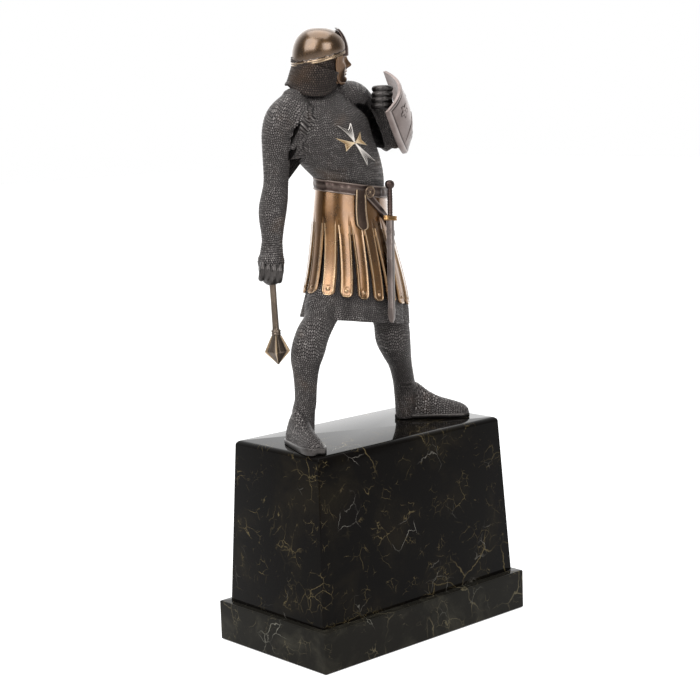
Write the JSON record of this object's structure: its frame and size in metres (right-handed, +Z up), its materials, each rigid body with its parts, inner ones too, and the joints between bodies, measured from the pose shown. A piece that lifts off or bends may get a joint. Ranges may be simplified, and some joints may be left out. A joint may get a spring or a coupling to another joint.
{
  "type": "bronze figure of a knight in mail on a marble pedestal",
  "caption": "Standing knight in mail with legs apart, cast in bronze, with a mace, a small curved shield and a sheathed sword, on a two-step block of dark veined marble.",
  "frame": {"origin": "middle of the plinth's underside", "axes": "+Z up; +X along the long side of the plinth, towards the figure's left; the figure's chest faces -Y"},
  "size_m": [0.2114, 0.1204, 0.4577],
  "materials": {
    "plinth_marble": "polished dark marble with fine pale veins",
    "pedestal_marble": "polished near-black marble with ochre and white veins",
    "knight_bronze": "dark patinated bronze, golden brown and polished on the cap, face and skirt straps",
    "mace_bronze": "golden brown polished bronze, worn",
    "shield_bronze": "grey-brown patinated bronze with dark lines in the relief",
    "sword_bronze": "grey patinated bronze with a brass-coloured guard"
  },
  "bodies": {
    "root": {"plinth": "plinth_marble", "pedestal": "pedestal_marble", "knight": "knight_bronze", "mace": "mace_bronze", "shield": "shield_bronze", "sword": "sword_bronze"}
  },
  "joints": []
}
